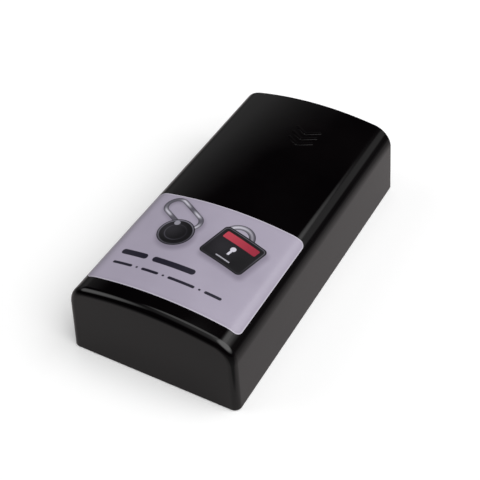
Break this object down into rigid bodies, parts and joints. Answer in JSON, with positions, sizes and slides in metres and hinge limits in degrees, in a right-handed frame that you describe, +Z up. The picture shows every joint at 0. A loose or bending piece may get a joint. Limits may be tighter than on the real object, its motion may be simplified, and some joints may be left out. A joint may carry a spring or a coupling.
{
  "type": "magnetic key holder box",
  "caption": "Black plastic key box with a crowned slide-off cover, a key tray and block magnets under its floor",
  "frame": {"origin": "middle of the box on the plane that the two magnet faces stand on", "axes": "+X across the box, +Y along it towards the open end, +Z up through the crown"},
  "size_m": [0.056, 0.107, 0.0269],
  "materials": {
    "cover": "gloss",
    "label": "satin",
    "tray": "satin",
    "foam": "matte",
    "ferrite": "matte",
    "steel": "satin",
    "frame": "satin"
  },
  "bodies": {
    "base": {"key_tray": "tray", "foam_liner": "foam", "magnet_front": "ferrite", "magnet_rear": "ferrite", "backing_plate_front": "steel", "backing_plate_rear": "steel", "magnet_frame": "frame"},
    "cover": {"cover_shell": "cover", "label_film": "label"}
  },
  "joints": [
    {"name": "cover_slide", "type": "slide", "parent": "base", "child": "cover", "axis": [0, -1, 0], "range_m": [0, 0.11]}
  ]
}
